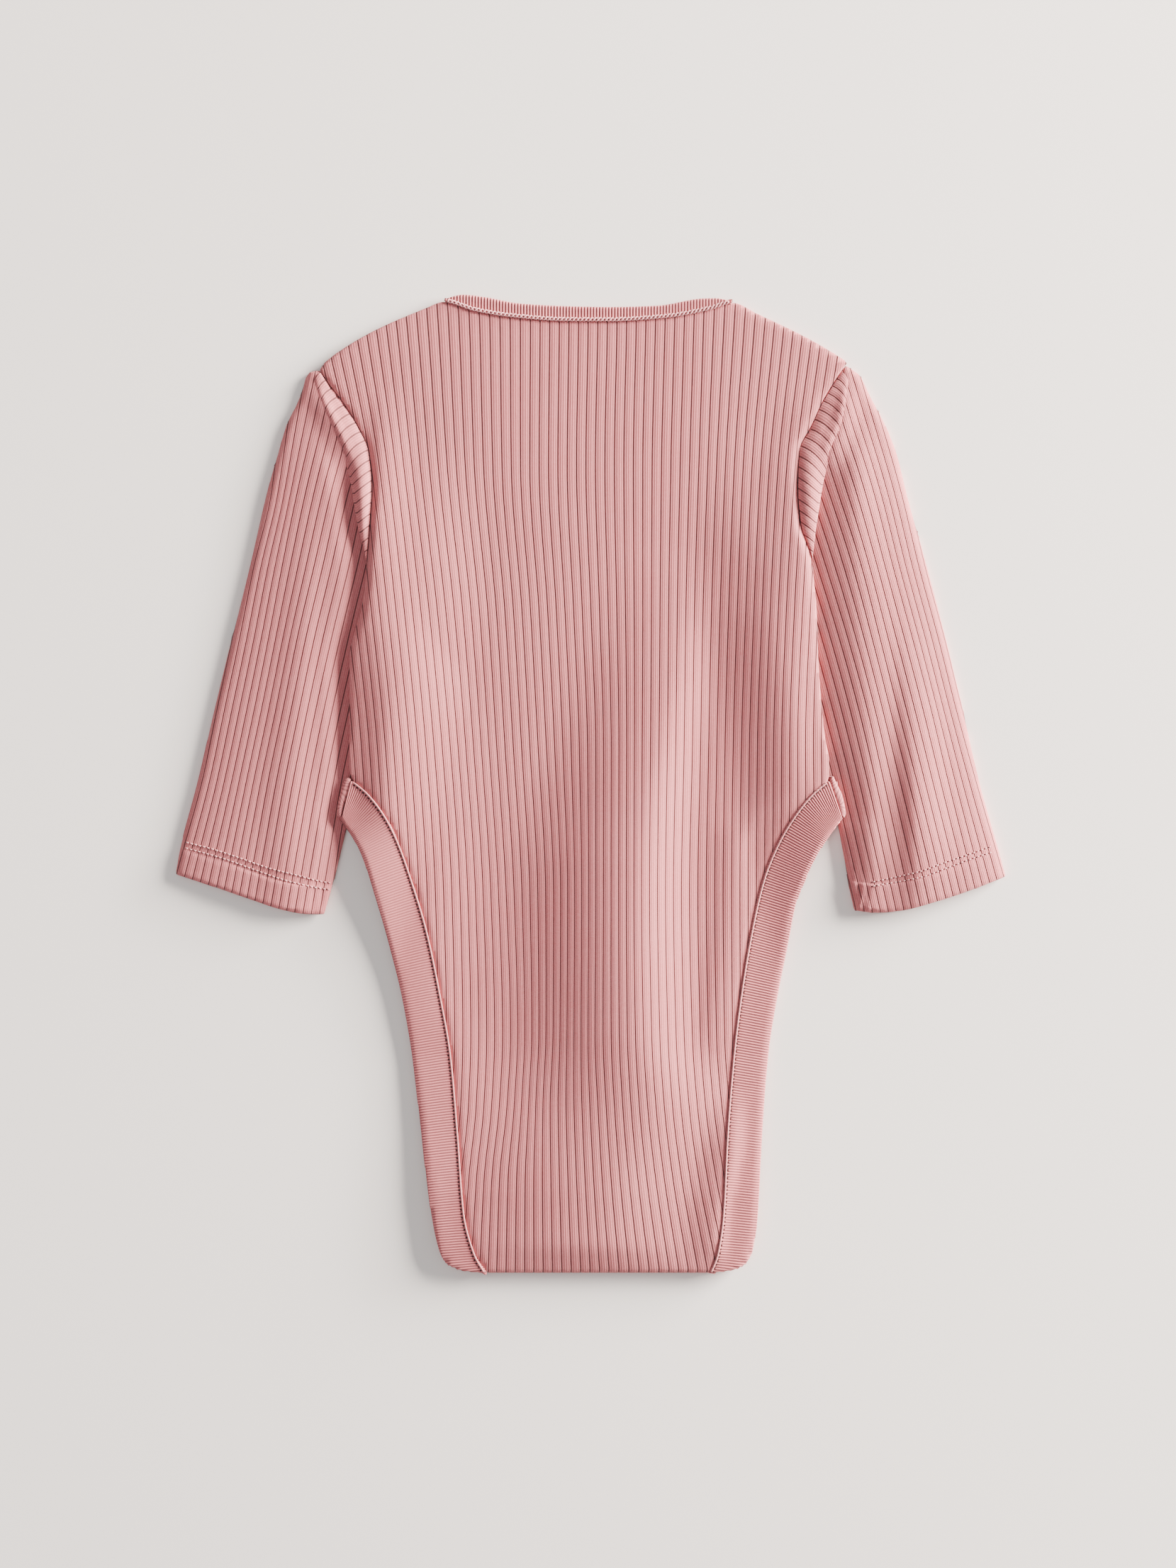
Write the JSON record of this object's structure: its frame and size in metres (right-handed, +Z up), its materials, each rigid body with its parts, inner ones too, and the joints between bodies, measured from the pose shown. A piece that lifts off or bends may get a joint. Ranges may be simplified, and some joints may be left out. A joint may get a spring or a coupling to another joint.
{
  "type": "baby bodysuit",
  "caption": "Long-sleeved baby bodysuit in ribbed knit, laid flat with its back up, crotch flap closed with press studs.",
  "frame": {"origin": "centre of the garment's footprint on the surface it lies on, at z = 0", "axes": "+Y runs from the crotch fold to the neck, +X across to the sleeve at the right as it lies, +Z up through the layers, out of the back panel"},
  "size_m": [0.3981, 0.4695, 0.0083],
  "materials": {
    "rib_knit": "soft matt cotton in a wide flat rib",
    "band_knit": "soft matt cotton in a fine one-and-one rib",
    "press_stud": "satin"
  },
  "bodies": {
    "root": {"back_panel": "rib_knit", "front_panel": "rib_knit", "neck_band": "band_knit", "sleeve_left": "rib_knit", "sleeve_right": "rib_knit", "leg_band_back_left": "band_knit", "leg_band_back_right": "band_knit", "leg_band_front_left": "band_knit", "leg_band_front_right": "band_knit", "press_stud_left": "press_stud", "press_stud_middle": "press_stud", "press_stud_right": "press_stud"}
  },
  "joints": []
}
